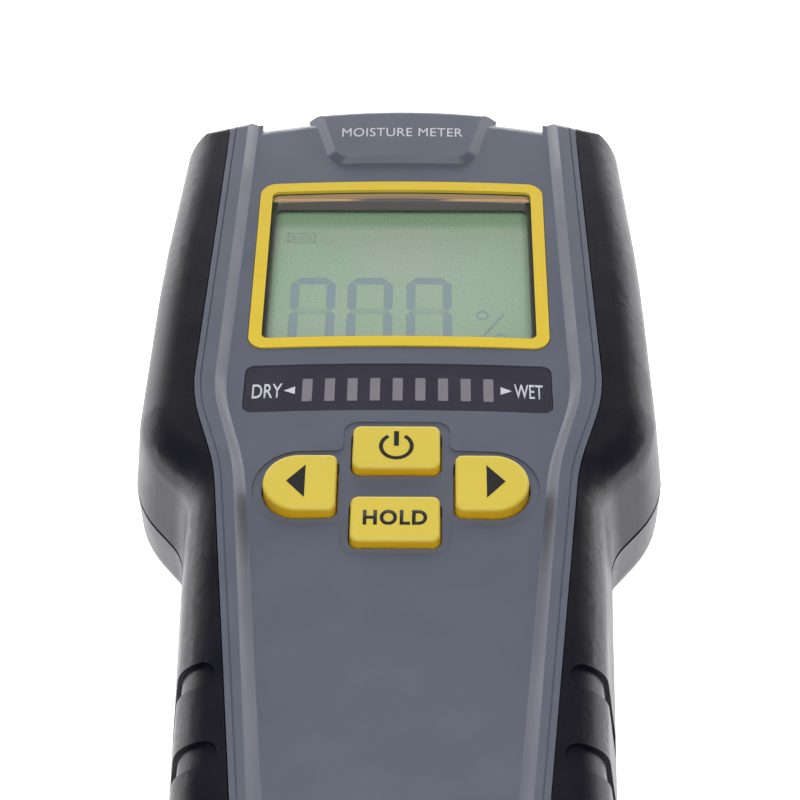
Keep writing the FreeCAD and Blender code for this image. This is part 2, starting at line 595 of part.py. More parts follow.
def make_keypad_mat():
    length = MAT_HIGH_Y - MAT_LOW_Y
    middle = (MAT_LOW_Y + MAT_HIGH_Y) / 2
    mat = round_block(MAT_W, length, MAT_CORNER, BOARD_TOP + FIT / 2, MAT_Z, 0, middle)
    mat = mat.cut(round_block(MAT_W - 2 * MAT_SIDE_T, length - 2 * MAT_END_T, MAT_CORNER - 1.0,
                              BOARD_TOP, MAT_Z - MAT_WEB_T - FIT, 0, middle))
    return mat.cut([prism(wire, BOARD_TOP, PANEL_Z) for wire in key_wires(KEY_FLANGE + 2 * FIT)])


def make_contact_pads():
    return [post(PAD_R, BOARD_TOP, BOARD_TOP + FIT, x, y) for x, y in key_centres()]


# ---- electronics --------------------------------------------------------------------------------
def make_main_board():
    board = prism(corner_wire(both_sides(BOARD_LINE)), BOARD_Z, BOARD_TOP)
    return board.cut([post(BOARD_HOLE_R, BOARD_Z - 1, BOARD_TOP + 1, x, y)
                      for x, y in mirrored(BOARD_SCREWS)])


def crossed_head(radius, low, high, cross, x, y):
    """A round screw head with a cross of (width, length, depth) let into its lower face."""
    width, length, depth = cross
    cuts = [block(a, b, low - 1, low + depth, x, y) for a, b in ((width, length), (length, width))]
    return post(radius, low, high, x, y).cut(cuts)


def make_board_screws():
    cross = (SMALL_CROSS_W, SMALL_CROSS_L, SMALL_CROSS_DEPTH)
    return [crossed_head(BOARD_HEAD_R, BOARD_Z - BOARD_HEAD_T, BOARD_Z, cross, x, y).fuse(
        post(BOARD_SHANK_R, BOARD_Z, BOARD_TOP + BOARD_SHANK_L, x, y))
        for x, y in mirrored(BOARD_SCREWS)]


def make_case_screws():
    cross = (CROSS_W, CROSS_L, CROSS_DEPTH)
    return [crossed_head(CASE_HEAD_R, seat - CASE_HEAD_T, seat, cross, x, y).fuse(
        post(CASE_SHANK_R, seat, CASE_SHANK_TOP, x, y))
        for x, y, seat in mirrored(CASE_SCREWS)]


def make_microcontroller():
    return block(CHIP_W, CHIP_W, BOARD_Z - CHIP_T, BOARD_Z - FIT, *CHIP_AT)


def make_buzzer():
    low = BOARD_Z - BUZZER_T
    drum = post(BUZZER_R, low, BOARD_Z - FIT, *BUZZER_AT)
    return drum.cut(post(SOUND_HOLE_R, low - 1, low + SOUND_HOLE_L, *BUZZER_AT))


def make_capacitors():
    return [post(CAN_R, BOARD_Z - CAN_T, BOARD_Z - FIT, x, y) for x, y in CANS_AT]


def make_lead_plugs():
    return [block(width, PLUG_L, PLUG_LOW, BOARD_Z - FIT, *spot)
            for width, spot in ((8.0, BATTERY_PLUG), (6.0, SENSOR_PLUG))]


def lead(points, bend, radius):
    """A round lead whose straight runs are joined by tangent arcs."""
    spots = [Vector(*p) for p in points]
    cuts = [(spots[0], None, spots[0])]
    for before, here, after in zip(spots, spots[1:], spots[2:]):
        cuts.append(rounded_corner(before, here, after, bend))
    cuts.append((spots[-1], None, spots[-1]))
    path = Part.Wire(joined_edges(cuts, False))
    section = Part.Wire(Part.makeCircle(radius, spots[0], spots[1] - spots[0]))
    return path.makePipeShell([section], True, False)


def battery_lead(side):
    start_y = BATTERY_TOP_Y + SNAP_T + 0.4
    end_y = BATTERY_PLUG[1] - 2.55
    z = BATTERY_Z + BATTERY_T - 5.0
    return lead([(side * 7.0, start_y, z), (side * 7.0, start_y + 14, z),
                 (side * 1.8, end_y - 12, z), (side * 1.8, end_y, z)],
                WIRE_BEND, WIRE_R)


def make_sensor_lead():
    x, y = SENSOR_PLUG
    low = SENSOR_BOARD_TOP + FIT
    return lead([(x, y + 13, low), (x, y + 13, 13.0), (x, y, 13.0), (x, y, PLUG_LOW - FIT)],
                CABLE_BEND, CABLE_R)


# ---- battery ------------------------------------------------------------------------------------
def make_battery():
    case = block(BATTERY_W, BATTERY_L, BATTERY_Z, BATTERY_Z + BATTERY_T, 0,
                 BATTERY_TOP_Y - BATTERY_L / 2)
    case = case.makeFillet(BATTERY_EDGE, edges_where(case, lambda b: b.XLength < 1e-4 and b.ZLength < 1e-4))
    return case.fuse([terminal(x, r) for x, r in ((-TERMINAL_X, PLUS_R), (TERMINAL_X, MINUS_R))])


def terminal(x, radius):
    base = Vector(x, BATTERY_TOP_Y, BATTERY_Z + BATTERY_T / 2)
    return Part.makeCylinder(radius, TERMINAL_T, base, Vector(0, 1, 0))


def make_battery_snap():
    middle = BATTERY_TOP_Y + FIT + SNAP_T / 2
    body = block(SNAP_W, SNAP_T, BATTERY_Z + SNAP_INSET, BATTERY_Z + BATTERY_T - SNAP_INSET, 0, middle)
    return body.cut([terminal(x, SNAP_HOLE_R).makeOffsetShape(FIT, 1e-3)
                     for x in (-TERMINAL_X, TERMINAL_X)])


def make_battery_foam():
    middle = BATTERY_TOP_Y - BATTERY_L / 2
    return block(FOAM_W, FOAM_L, BATTERY_Z - FOAM_T, BATTERY_Z - FIT, 0, middle)


# ---- sensor -------------------------------------------------------------------------------------
def pad_block(less, radius, low, high):
    """A rounded block on the pad's centre, smaller than the pad by an amount."""
    return round_block(PAD_W - less, PAD_L - less, radius, low, high, 0, PAD_Y)


def make_sensor_pad():
    cup = pad_block(0, PAD_CORNER, 0, PAD_RIM_TOP)
    cup = cup.makeFillet(PAD_EDGE, edges_where(cup, lambda b: b.ZMax < 0.01))
    cup = cup.fuse(pad_block(-2 * PAD_RIM, PAD_CORNER + PAD_RIM, HEAD_BACK_Z + WALL + FIT,
                             PAD_RIM_TOP))
    return cup.cut(pad_block(2 * PAD_WALL, PAD_CORNER - PAD_WALL, PAD_FACE_T, PARTING_Z))


def make_sensor_board():
    return pad_block(5.0, 5.0, SENSOR_BOARD_Z, SENSOR_BOARD_TOP)


def make_sensor_electrodes():
    ring = pad_block(8.0, 4.0, ELECTRODE_LOW, ELECTRODE_HIGH)
    ring = ring.cut(pad_block(18.0, 3.0, 0, PARTING_Z))
    return [ring, pad_block(24.0, 3.0, ELECTRODE_LOW, ELECTRODE_HIGH)]


# ---- writing ------------------------------------------------------------------------------------
def nodes():
    wires = key_wires(0.0)
    flanges = key_wires(KEY_FLANGE)
    centres = key_centres()
    made = {
        "front_shell": make_front_shell(),
        "grip_overmould": make_grip_overmould(),
        "rear_shell": make_rear_shell(),
        "battery_door": make_battery_door(),
        "display_bezel": make_display_bezel(),
        "display_window": make_display_window(),
        "lcd_glass": make_lcd_glass(),
        "lcd_backlight": make_lcd_backlight(),
        "lcd_frame": make_lcd_frame(),
        "zebra_strips": make_zebra_strips(),
        "bar_window": make_bar_window(),
        "bar_leds": make_bar_leds(),
        "bar_holder": make_bar_holder(),
        "keypad_mat": make_keypad_mat(),
        "contact_pads": make_contact_pads(),
        "main_board": make_main_board(),
        "board_screws": make_board_screws(),
        "case_screws": make_case_screws(),
        "microcontroller": make_microcontroller(),
        "buzzer": make_buzzer(),
        "capacitors": make_capacitors(),
        "lead_plugs": make_lead_plugs(),
        "battery_lead_red": battery_lead(1),
        "battery_lead_black": battery_lead(-1),
        "sensor_lead": make_sensor_lead(),
        "battery": make_battery(),
        "battery_snap": make_battery_snap(),
        "battery_foam": make_battery_foam(),
        "sensor_pad": make_sensor_pad(),
        "sensor_board": make_sensor_board(),
        "sensor_electrodes": make_sensor_electrodes(),
    }
    for i, name in enumerate(("power", "hold", "left", "right")):
        made[name + "_key"] = make_key(wires[i], flanges[i], *centres[i])
        made[name + "_pill"] = make_pill(*centres[i])
    return made


os.makedirs("parts", exist_ok=True)
for node, shape in nodes().items():
    if isinstance(shape, list):
        shape = Part.makeCompound(shape)
    shape.exportStep("parts/" + node + ".step")
    print(node, shape.isValid(), len(shape.Solids), round(shape.Volume, 1))
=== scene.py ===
import math

import bmesh
import bpy
from mathutils import Matrix, Vector


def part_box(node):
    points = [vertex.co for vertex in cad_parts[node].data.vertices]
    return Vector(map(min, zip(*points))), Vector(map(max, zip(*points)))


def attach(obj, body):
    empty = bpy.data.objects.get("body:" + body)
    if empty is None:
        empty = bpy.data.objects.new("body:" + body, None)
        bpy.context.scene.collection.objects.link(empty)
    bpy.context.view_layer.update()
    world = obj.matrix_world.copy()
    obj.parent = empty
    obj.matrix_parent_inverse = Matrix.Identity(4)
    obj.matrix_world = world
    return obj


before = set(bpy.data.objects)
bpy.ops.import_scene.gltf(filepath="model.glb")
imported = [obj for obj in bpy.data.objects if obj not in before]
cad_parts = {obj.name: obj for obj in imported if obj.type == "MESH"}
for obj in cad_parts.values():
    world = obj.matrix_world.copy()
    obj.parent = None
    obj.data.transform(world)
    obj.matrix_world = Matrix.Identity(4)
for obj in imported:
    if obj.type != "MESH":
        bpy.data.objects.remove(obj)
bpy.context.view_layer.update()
MM = 0.001
HOUSING = "housing"

# Where the display sits: its centre line, the middle of its length, and the panel's crest.
bezel_low, bezel_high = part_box("display_bezel")
DISPLAY_Y = (bezel_low.y + bezel_high.y) / 2
BEZEL_RISE = 0.2 * MM
PANEL_Z = bezel_high.z - BEZEL_RISE
PANEL_CROWN = 350.0 * MM
LCD_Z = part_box("lcd_glass")[1].z
BADGE_RISE = 1.05 * MM
STRIP_SINK = 0.15 * MM
PRINT = 0.03 * MM           # how far print stands off the surface it is on
PRINT_THICKNESS = 0.06 * MM

# Camera: angles in degrees, distance in metres, and where it aims, measured from the display's middle.
ELEVATION, YAW, ROLL = 48.0, -1.378, -0.835
CAMERA_DISTANCE = 0.27527
AIM_RIGHT, AIM_BACK = 0.35 * MM, 27.54 * MM
SENSOR_WIDTH, LENS_LENGTH = 36.0, 89.64
BACKDROP_FACING, BACKDROP_STRENGTH = (0.0, 0.67, -0.74), 4.0
FLOOR_HALF = 3.0

# Display bezel: depths below its rim where its colour changes (a painted shadow line, then painted
# glow and shade at the window's edge, then the well), and the start of the well's far wall.
SHADOW_LINE_DEPTH, PANE_DEPTH, WELL_DEPTH = 0.55 * MM, 0.8 * MM, 1.8 * MM
EDGE_BLEND = 0.06 * MM
FAR_WALL_Y = DISPLAY_Y + 14.6 * MM
# Between the two key heights below, a key's sides fade into a painted orange shade.
KEY_SHADE_TOP, KEY_SHADE_FOOT = 1.05 * MM, 0.55 * MM   # heights above the panel
SHARP_ANGLE, MERGE_DISTANCE = 28.0, 0.001 * MM


# ---- camera and stage ---------------------------------------------------------------------------
def make_camera():
    """A portrait lens above the grip, looking at the keys from the handle's end."""
    elevation, yaw, roll = math.radians(ELEVATION), math.radians(YAW), math.radians(ROLL)
    target = Vector((AIM_RIGHT, DISPLAY_Y - AIM_BACK, PANEL_Z))
    ahead = Vector((math.sin(yaw) * math.cos(elevation), math.cos(yaw) * math.cos(elevation),
                    -math.sin(elevation)))
    right = Vector((math.cos(yaw), -math.sin(yaw), 0.0))
    up = right.cross(ahead)
    turned_right = right * math.cos(roll) + up * math.sin(roll)
    turned_up = up * math.cos(roll) - right * math.sin(roll)
    camera = bpy.data.objects.new("camera", bpy.data.cameras.new("camera"))
    bpy.context.collection.objects.link(camera)
    axes = Matrix((turned_right, turned_up, -ahead)).transposed()
    camera.matrix_world = Matrix.Translation(target - ahead * CAMERA_DISTANCE) @ axes.to_4x4()
    camera.data.sensor_width = SENSOR_WIDTH
    camera.data.lens = LENS_LENGTH
    camera.data.clip_start, camera.data.clip_end = 0.01, 20.0
    bpy.context.scene.camera = camera


def make_world():
    """A white backdrop beyond the meter and a dim room behind the camera."""
    world = bpy.data.worlds.new("world")
    bpy.context.scene.world = world
    world.use_nodes = True
    tree = world.node_tree
    back = tree.nodes["Background"]
    coords = tree.nodes.new("ShaderNodeTexCoord")
    along = tree.nodes.new("ShaderNodeVectorMath")
    along.operation = "DOT_PRODUCT"
    along.inputs[1].default_value = BACKDROP_FACING
    ramp = tree.nodes.new("ShaderNodeValToRGB")
    tree.links.new(coords.outputs["Generated"], along.inputs[0])
    tree.links.new(along.outputs["Value"], ramp.inputs[0])
    stops = ramp.color_ramp.elements
    stops[0].position, stops[0].color = 0.0, (0.05, 0.05, 0.055, 1)
    stops[1].position, stops[1].color = 0.5, (1.0, 1.0, 1.0, 1)
    for place, level in ((0.1, 0.15), (0.28, 0.7)):
        stops.new(place).color = (level, level, level * 1.03, 1)
    tree.links.new(ramp.outputs[0], back.inputs[0])
    back.inputs[1].default_value = BACKDROP_STRENGTH


def area_light(name, place, aim, size, watts):
    data = bpy.data.lights.new(name, "AREA")
    data.shape, data.size, data.energy = "SQUARE", size, watts
    lamp = bpy.data.objects.new(name, data)
    bpy.context.collection.objects.link(lamp)
    lamp.location = place
    lamp.rotation_mode = "QUATERNION"
    lamp.rotation_quaternion = (Vector(aim) - Vector(place)).to_track_quat("-Z", "Y")


def make_floor():
    mesh = bpy.data.meshes.new("floor")
    half = FLOOR_HALF
    mesh.from_pydata([(-half, -half, 0), (half, -half, 0), (half, half, 0), (-half, half, 0)], [],
                     [(0, 1, 2, 3)])
    floor = bpy.data.objects.new("floor", mesh)
    bpy.context.collection.objects.link(floor)
    m, tree, bsdf = new_material("floor")
    tint = noise(tree, 3.0, 2.0)
    blend_colours(tree, tint, (0.93, 0.93, 0.94), (0.96, 0.96, 0.965), bsdf.inputs["Base Color"])
    bsdf.inputs["Roughness"].default_value = 0.9
    reach = tree.nodes.new("ShaderNodeVectorMath")
    reach.operation = "LENGTH"
    squash = tree.nodes.new("ShaderNodeMapping")
    squash.inputs["Scale"].default_value = (1.0, 0.5, 1.0)
    tree.links.new(object_coords(tree), squash.inputs["Vector"])
    tree.links.new(squash.outputs[0], reach.inputs[0])
    glow = ramped(tree, reach.outputs["Value"], 0.05, 0.22, 0.75, 2.8)
    bsdf.inputs["Emission Color"].default_value = (1, 1, 1, 1)
    tree.links.new(glow, bsdf.inputs["Emission Strength"])
    mesh.materials.append(m)


# ---- materials ----------------------------------------------------------------------------------
def linear(r, g, b):
    """A colour as a screen shows it, from 0 to 255, as the renderer's linear values."""
    def one(v):
        v /= 255.0
        return v / 12.92 if v <= 0.04045 else ((v + 0.055) / 1.055) ** 2.4
    return (one(r), one(g), one(b))


def new_material(name):
    m = bpy.data.materials.new(name)
    m.use_nodes = True
    return m, m.node_tree, m.node_tree.nodes["Principled BSDF"]


def object_coords(tree):
    for n in tree.nodes:
        if n.type == "TEX_COORD":
            return n.outputs["Object"]
    return tree.nodes.new("ShaderNodeTexCoord").outputs["Object"]


def noise(tree, scale, detail=3.0, roughness=0.5, stretch=None):
    """A noise over the object's own coordinates; scale is in features per metre."""
    n = tree.nodes.new("ShaderNodeTexNoise")
    n.inputs["Scale"].default_value = scale
    n.inputs["Detail"].default_value = detail
    n.inputs["Roughness"].default_value = roughness
    source = object_coords(tree)
    if stretch:
        mapping = tree.nodes.new("ShaderNodeMapping")
        mapping.inputs["Scale"].default_value = stretch
        tree.links.new(source, mapping.inputs["Vector"])
        source = mapping.outputs[0]
    tree.links.new(source, n.inputs["Vector"])
    return n.outputs["Fac"]


def ramped(tree, value, low, high, to_low=0.0, to_high=1.0):
    n = tree.nodes.new("ShaderNodeMapRange")
    for key, number in (("From Min", low), ("From Max", high), ("To Min", to_low),
                        ("To Max", to_high)):
        n.inputs[key].default_value = number
    tree.links.new(value, n.inputs["Value"])
    return n.outputs[0]


def blend_colours(tree, factor, first, second, target=None):
    n = tree.nodes.new("ShaderNodeMix")
    n.data_type = "RGBA"
    tree.links.new(factor, n.inputs[0])
    for socket, colour in ((n.inputs[6], first), (n.inputs[7], second)):
        if isinstance(colour, tuple):
            socket.default_value = (*colour[:3], 1.0)
        else:
            tree.links.new(colour, socket)
    if target:
        tree.links.new(n.outputs[2], target)
    return n.outputs[2]


def maths(tree, operation, first, second=None):
    n = tree.nodes.new("ShaderNodeMath")
    n.operation = operation
    for socket, value in zip(n.inputs, (first, second)):
        if value is None:
            continue
        if isinstance(value, (int, float)):
            socket.default_value = value
        else:
            tree.links.new(value, socket)
    return n.outputs[0]


def bump(tree, bsdf, height, depth):
    n = tree.nodes.new("ShaderNodeBump")
    n.inputs["Strength"].default_value = 1.0
    n.inputs["Distance"].default_value = depth
    tree.links.new(height, n.inputs["Height"])
    tree.links.new(n.outputs[0], bsdf.inputs["Normal"])


def shade(colour, amount):
    return tuple(max(0.0, c * amount) for c in colour)


def moulded(name, colour, roughness, grain=0.25, depth=0.004, mottle=0.06, uneven=0.06,
            specular=0.5, dust=0.0):
    """Moulded plastic or rubber: grain is the texture's size and depth its height, in millimetres."""
    m, tree, bsdf = new_material(name)
    cloud = noise(tree, 60.0, 4.0, 0.6)
    fine = noise(tree, 1500.0, 2.0)
    mixed = maths(tree, "ADD", maths(tree, "MULTIPLY", cloud, 0.6), maths(tree, "MULTIPLY", fine, 0.4))
    tone = ramped(tree, mixed, 0.3, 0.7)
    base = blend_colours(tree, tone, shade(colour, 1 - mottle), shade(colour, 1 + mottle))
    if dust:
        specks = tree.nodes.new("ShaderNodeTexVoronoi")
        specks.inputs["Scale"].default_value = 330.0
        tree.links.new(object_coords(tree), specks.inputs["Vector"])
        spot = ramped(tree, specks.outputs["Distance"], 0.045, 0.02)
        gate = ramped(tree, specks.outputs["Color"], 1.0 - dust, 1.0 - dust + 0.02)
        base = blend_colours(tree, maths(tree, "MULTIPLY", spot, gate), base, (0.45, 0.45, 0.45))
    tree.links.new(base, bsdf.inputs["Base Color"])
    patches = noise(tree, 140.0, 5.0, 0.65)
    tree.links.new(ramped(tree, patches, 0.3, 0.7, roughness - uneven, roughness + uneven),
                   bsdf.inputs["Roughness"])
    grit = noise(tree, 1000.0 / grain, 2.0, 0.6)
    bump(tree, bsdf, grit, depth * MM)
    bsdf.inputs["Specular IOR Level"].default_value = specular
    return m


def metal(name, colour, roughness, brushed=(1.0, 1.0, 1.0)):
    m, tree, bsdf = new_material(name)
    bsdf.inputs["Metallic"].default_value = 1.0
    streaks = noise(tree, 2500.0, 3.0, 0.6, brushed)
    blend_colours(tree, streaks, shade(colour, 0.8), shade(colour, 1.1), bsdf.inputs["Base Color"])
    tree.links.new(ramped(tree, streaks, 0.3, 0.7, roughness - 0.08, roughness + 0.1),
                   bsdf.inputs["Roughness"])
    bump(tree, bsdf, streaks, 0.004 * MM)
    return m


def clear_plastic(name, tint, haze):
    """A thin clear window: it shows what is behind it and mirrors more at a glancing angle."""
    m, tree, bsdf = new_material(name)
    smears = noise(tree, 220.0, 4.0, 0.6)
    tree.links.new(ramped(tree, smears, 0.35, 0.75, 0.02, 0.02 + haze), bsdf.inputs["Roughness"])
    bsdf.inputs["Base Color"].default_value = (0.02, 0.02, 0.02, 1)
    see = tree.nodes.new("ShaderNodeBsdfTransparent")
    see.inputs[0].default_value = (*tint, 1)
    facing = tree.nodes.new("ShaderNodeLayerWeight")
    facing.inputs[0].default_value = 0.5
    rise = maths(tree, "POWER", facing.outputs["Facing"], 5.0)
    mix = tree.nodes.new("ShaderNodeMixShader")
    tree.links.new(ramped(tree, rise, 0.0, 1.0, 0.04, 1.0), mix.inputs[0])
    tree.links.new(see.outputs[0], mix.inputs[1])
    tree.links.new(bsdf.outputs[0], mix.inputs[2])
    tree.links.new(mix.outputs[0], tree.nodes["Material Output"].inputs["Surface"])
    return m


def lcd_material():
    """Grey-green reflective glass, with a painted shadow of the bezel darkening a band along its top
    edge.
    """
    m, tree, bsdf = new_material("lcd_face")
    split = tree.nodes.new("ShaderNodeSeparateXYZ")
    tree.links.new(object_coords(tree), split.inputs[0])
    cloud = noise(tree, 45.0, 3.0)
    face = blend_colours(tree, ramped(tree, cloud, 0.3, 0.7), linear(166, 190, 164),
                         linear(178, 190, 174))
    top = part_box("lcd_glass")[1].y
    # Painted shade: a band along the top edge, under the bezel's far rim, is painted darker green.
    painted_band = ramped(tree, split.outputs["Y"], top - 6.2 * MM, top - 4.6 * MM)
    face = blend_colours(tree, painted_band, face, linear(142, 168, 140))
    tree.links.new(face, bsdf.inputs["Base Color"])
    grain = noise(tree, 3000.0, 1.0)
    tree.links.new(ramped(tree, grain, 0.3, 0.7, 0.22, 0.34), bsdf.inputs["Roughness"])
    bump(tree, bsdf, grain, 0.001 * MM)
    return m


def bezel_material():
    """Yellow ring over a darker well: the colour changes with the depth below the crowned rim, with a
    painted shadow line under the rim and, at the window's edge, a painted tan glow on the far wall and
    painted shade on the side walls.
    """
    m = moulded("yellow_plastic", linear(205, 177, 40), 0.36, 0.3, 0.002, 0.03, 0.04)
    tree = m.node_tree
    bsdf = tree.nodes["Principled BSDF"]
    split = tree.nodes.new("ShaderNodeSeparateXYZ")
    tree.links.new(object_coords(tree), split.inputs[0])
    drop = maths(tree, "MULTIPLY", maths(tree, "POWER", split.outputs["X"], 2.0), 0.5 / PANEL_CROWN)
    depth = maths(tree, "SUBTRACT", bezel_high.z, maths(tree, "ADD", split.outputs["Z"], drop))
    yellow = bsdf.inputs["Base Color"].links[0].from_socket
    # Painted shadow: a dark line just under the rim.
    shadow_line = ramped(tree, depth, SHADOW_LINE_DEPTH, 0.6 * MM)
    painted_band = ramped(tree, depth, PANE_DEPTH, PANE_DEPTH + EDGE_BLEND)
    well = ramped(tree, depth, WELL_DEPTH, WELL_DEPTH + EDGE_BLEND)
    colour = blend_colours(tree, shadow_line, yellow, linear(24, 20, 18))
    # At the window's edge: a painted tan glow on the far wall and painted shade on the side walls.
    far_wall = ramped(tree, split.outputs["Y"], FAR_WALL_Y, FAR_WALL_Y + 0.2 * MM)
    pane_glow_and_shade = blend_colours(tree, far_wall, linear(64, 66, 60), linear(214, 178, 140))
    colour = blend_colours(tree, painted_band, colour, pane_glow_and_shade)
    blend_colours(tree, well, colour, linear(120, 108, 114), bsdf.inputs["Base Color"])
    return m


def key_material():
    """Yellow rubber with painted shade that deepens it towards orange down the sides of a key."""
    m = moulded("yellow_key", linear(194, 173, 54), 0.5, 0.18, 0.003, 0.03, 0.05)
    tree = m.node_tree
    bsdf = tree.nodes["Principled BSDF"]
    split = tree.nodes.new("ShaderNodeSeparateXYZ")
    tree.links.new(object_coords(tree), split.inputs[0])
    top = bsdf.inputs["Base Color"].links[0].from_socket
    # Painted shade: the sides are painted a deeper orange below the top of the key.
    side = ramped(tree, split.outputs["Z"], PANEL_Z + KEY_SHADE_TOP, PANEL_Z + KEY_SHADE_FOOT)
    blend_colours(tree, side, top, linear(226, 176, 12), bsdf.inputs["Base Color"])
    return m


def board_material():
    m, tree, bsdf = new_material("board")
    tracks = tree.nodes.new("ShaderNodeTexBrick")
    tracks.inputs["Scale"].default_value = 300.0
    tree.links.new(object_coords(tree), tracks.inputs["Vector"])
    blend_colours(tree, tracks.outputs["Fac"], (0.01, 0.10, 0.035), (0.03, 0.2, 0.08),
                  bsdf.inputs["Base Color"])
    bsdf.inputs["Roughness"].default_value = 0.35
    bump(tree, bsdf, tracks.outputs["Fac"], 0.03 * MM)
    return m


GREY = moulded("grey_shell", linear(79, 84, 96), 0.34, 0.22, 0.003, 0.05, 0.05, 0.6)
RUBBER = moulded("soft_grip", linear(10, 10, 19), 0.32, 0.4, 0.02, 0.10, 0.05, 0.22, dust=0.08)
REAR = moulded("black_shell", linear(24, 24, 31), 0.33, 0.35, 0.012, 0.08, 0.05, 0.4)
YELLOW = bezel_material()
KEY = key_material()
DARK = moulded("dark_plastic", linear(42, 40, 46), 0.4, 0.3, 0.003, 0.08)
WELL = moulded("well_plastic", linear(118, 108, 112), 0.35, 0.3, 0.003, 0.08)
STRIP = moulded("strip_window", linear(46, 44, 54), 0.22, 0.6, 0.0006, 0.05, 0.05)
LENS = moulded("led_lens", linear(112, 108, 115), 0.35, 0.25, 0.004, 0.07, 0.05)
ELASTOMER = moulded("elastomer", linear(70, 70, 74), 0.6, 0.3, 0.01, 0.1)
WHITE_PRINT = moulded("white_print", linear(186, 186, 194), 0.55, 0.15, 0.003, 0.05)
BLACK_PRINT = moulded("black_print", linear(18, 17, 18), 0.55, 0.15, 0.003, 0.1, specular=0.25)
LCD_INK = moulded("lcd_ink", linear(150, 164, 170), 0.35, 0.2, 0.001, 0.04)
LCD_FAINT = moulded("lcd_faint", linear(162, 178, 164), 0.35, 0.2, 0.001, 0.03)
WIRE_RED = moulded("wire_red", linear(176, 20, 18), 0.45, 0.4, 0.004)
WIRE_BLACK = moulded("wire_black", linear(26, 26, 28), 0.45, 0.4, 0.004)
PLUG = moulded("plug", linear(226, 222, 208), 0.4, 0.4, 0.004)
FOAM = moulded("foam", linear(56, 56, 58), 0.9, 0.6, 0.1, 0.2)
CAN = metal("can", (0.5, 0.5, 0.55), 0.35)
ZINC = metal("zinc", (0.62, 0.62, 0.64), 0.34, (1.0, 1.0, 0.2))
GOLD = metal("gold", (0.83, 0.62, 0.25), 0.28)
BOARD = board_material()
LCD = lcd_material()
CLEAR = clear_plastic("clear_window", (0.97, 0.985, 0.975), 0.05)

NODE_MATERIALS = {
    "front_shell": GREY, "grip_overmould": RUBBER, "rear_shell": REAR, "battery_door": REAR,
    "sensor_pad": DARK, "display_bezel": YELLOW, "display_window": CLEAR, "lcd_glass": LCD,
    "lcd_backlight": PLUG, "lcd_frame": WELL, "zebra_strips": ELASTOMER, "bar_window": STRIP,
    "bar_leds": LENS, "bar_holder": DARK, "keypad_mat": ELASTOMER, "contact_pads": GOLD,
    "main_board": BOARD, "board_screws": ZINC, "case_screws": ZINC, "microcontroller": DARK,
    "buzzer": DARK, "capacitors": CAN, "lead_plugs": PLUG, "battery_lead_red": WIRE_RED,
    "battery_lead_black": WIRE_BLACK, "sensor_lead": WIRE_BLACK, "battery": CAN,
    "battery_snap": DARK, "battery_foam": FOAM, "sensor_board": BOARD, "sensor_electrodes": GOLD,
}
for key in ("power", "hold", "left", "right"):
    NODE_MATERIALS[key + "_key"] = KEY
    NODE_MATERIALS[key + "_pill"] = ELASTOMER


def smoothing_nodes():
    """Joins split vertices and shades smoothly across every edge that turns less than a sharp one."""
    group = bpy.data.node_groups.new("smoothing", "GeometryNodeTree")
    group.interface.new_socket("Geometry", in_out="INPUT", socket_type="NodeSocketGeometry")
    group.interface.new_socket("Geometry", in_out="OUTPUT", socket_type="NodeSocketGeometry")
    start = group.nodes.new("NodeGroupInput")
    merge = group.nodes.new("GeometryNodeMergeByDistance")
    merge.inputs["Distance"].default_value = MERGE_DISTANCE
    faces = group.nodes.new("GeometryNodeSetShadeSmooth")
    faces.domain = "FACE"
    edges = group.nodes.new("GeometryNodeSetShadeSmooth")
    edges.domain = "EDGE"
    angle = group.nodes.new("GeometryNodeInputMeshEdgeAngle")
    sharp = group.nodes.new("FunctionNodeCompare")
    sharp.data_type, sharp.operation = "FLOAT", "GREATER_THAN"
    sharp.inputs[1].default_value = math.radians(SHARP_ANGLE)
    end = group.nodes.new("NodeGroupOutput")
    group.links.new(start.outputs[0], merge.inputs["Geometry"])
    group.links.new(merge.outputs[0], faces.inputs["Geometry"])
    group.links.new(faces.outputs[0], edges.inputs["Geometry"])
    group.links.new(angle.outputs["Unsigned Angle"], sharp.inputs[0])
    group.links.new(sharp.outputs[0], edges.inputs["Selection"])
    edges.inputs["Shade Smooth"].default_value = False
    group.links.new(edges.outputs[0], end.inputs[0])
    return group


# Larger faces weigh more in the normals, so long thin triangles leave no crease.
SMOOTHING = smoothing_nodes()
for name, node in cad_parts.items():
    node.data.materials.clear()
    node.data.materials.append(NODE_MATERIALS[name])
    node.modifiers.new("smoothing", "NODES").node_group = SMOOTHING
    weighted = node.modifiers.new("weighted", "WEIGHTED_NORMAL")
    weighted.keep_sharp, weighted.weight = True, 100


# ---- pieces -------------------------------------------------------------------------------------
def crowned(x, radius, crest):
    return crest - (radius - math.sqrt(radius * radius - x * x))


def panel(rise=0.0):
    """Height of the crowned panel, raised by an amount, at a place across it."""
    return lambda x, y: crowned(x, PANEL_CROWN, PANEL_Z + rise)


def level(z):
    return lambda x, y: z


def add_piece(name, mesh, material, body):
    piece = bpy.data.objects.new(name, mesh)
    bpy.context.collection.objects.link(piece)
    mesh.materials.clear()
    mesh.materials.append(material)
    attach(piece, body)
    return piece


def print_polygons(name, polygons, surface, material, body):
    """Flat closed outlines in the XY plane, given thickness and laid on a surface."""
    bm = bmesh.new()
    for outline in polygons:
        bm.faces.new([bm.verts.new((x, y, 0.0)) for x, y in outline])
    bmesh.ops.triangulate(bm, faces=bm.faces[:])
    finish_print(bm, surface)
    mesh = bpy.data.meshes.new(name)
    bm.to_mesh(mesh)
    bm.free()
    return add_piece(name, mesh, material, body)


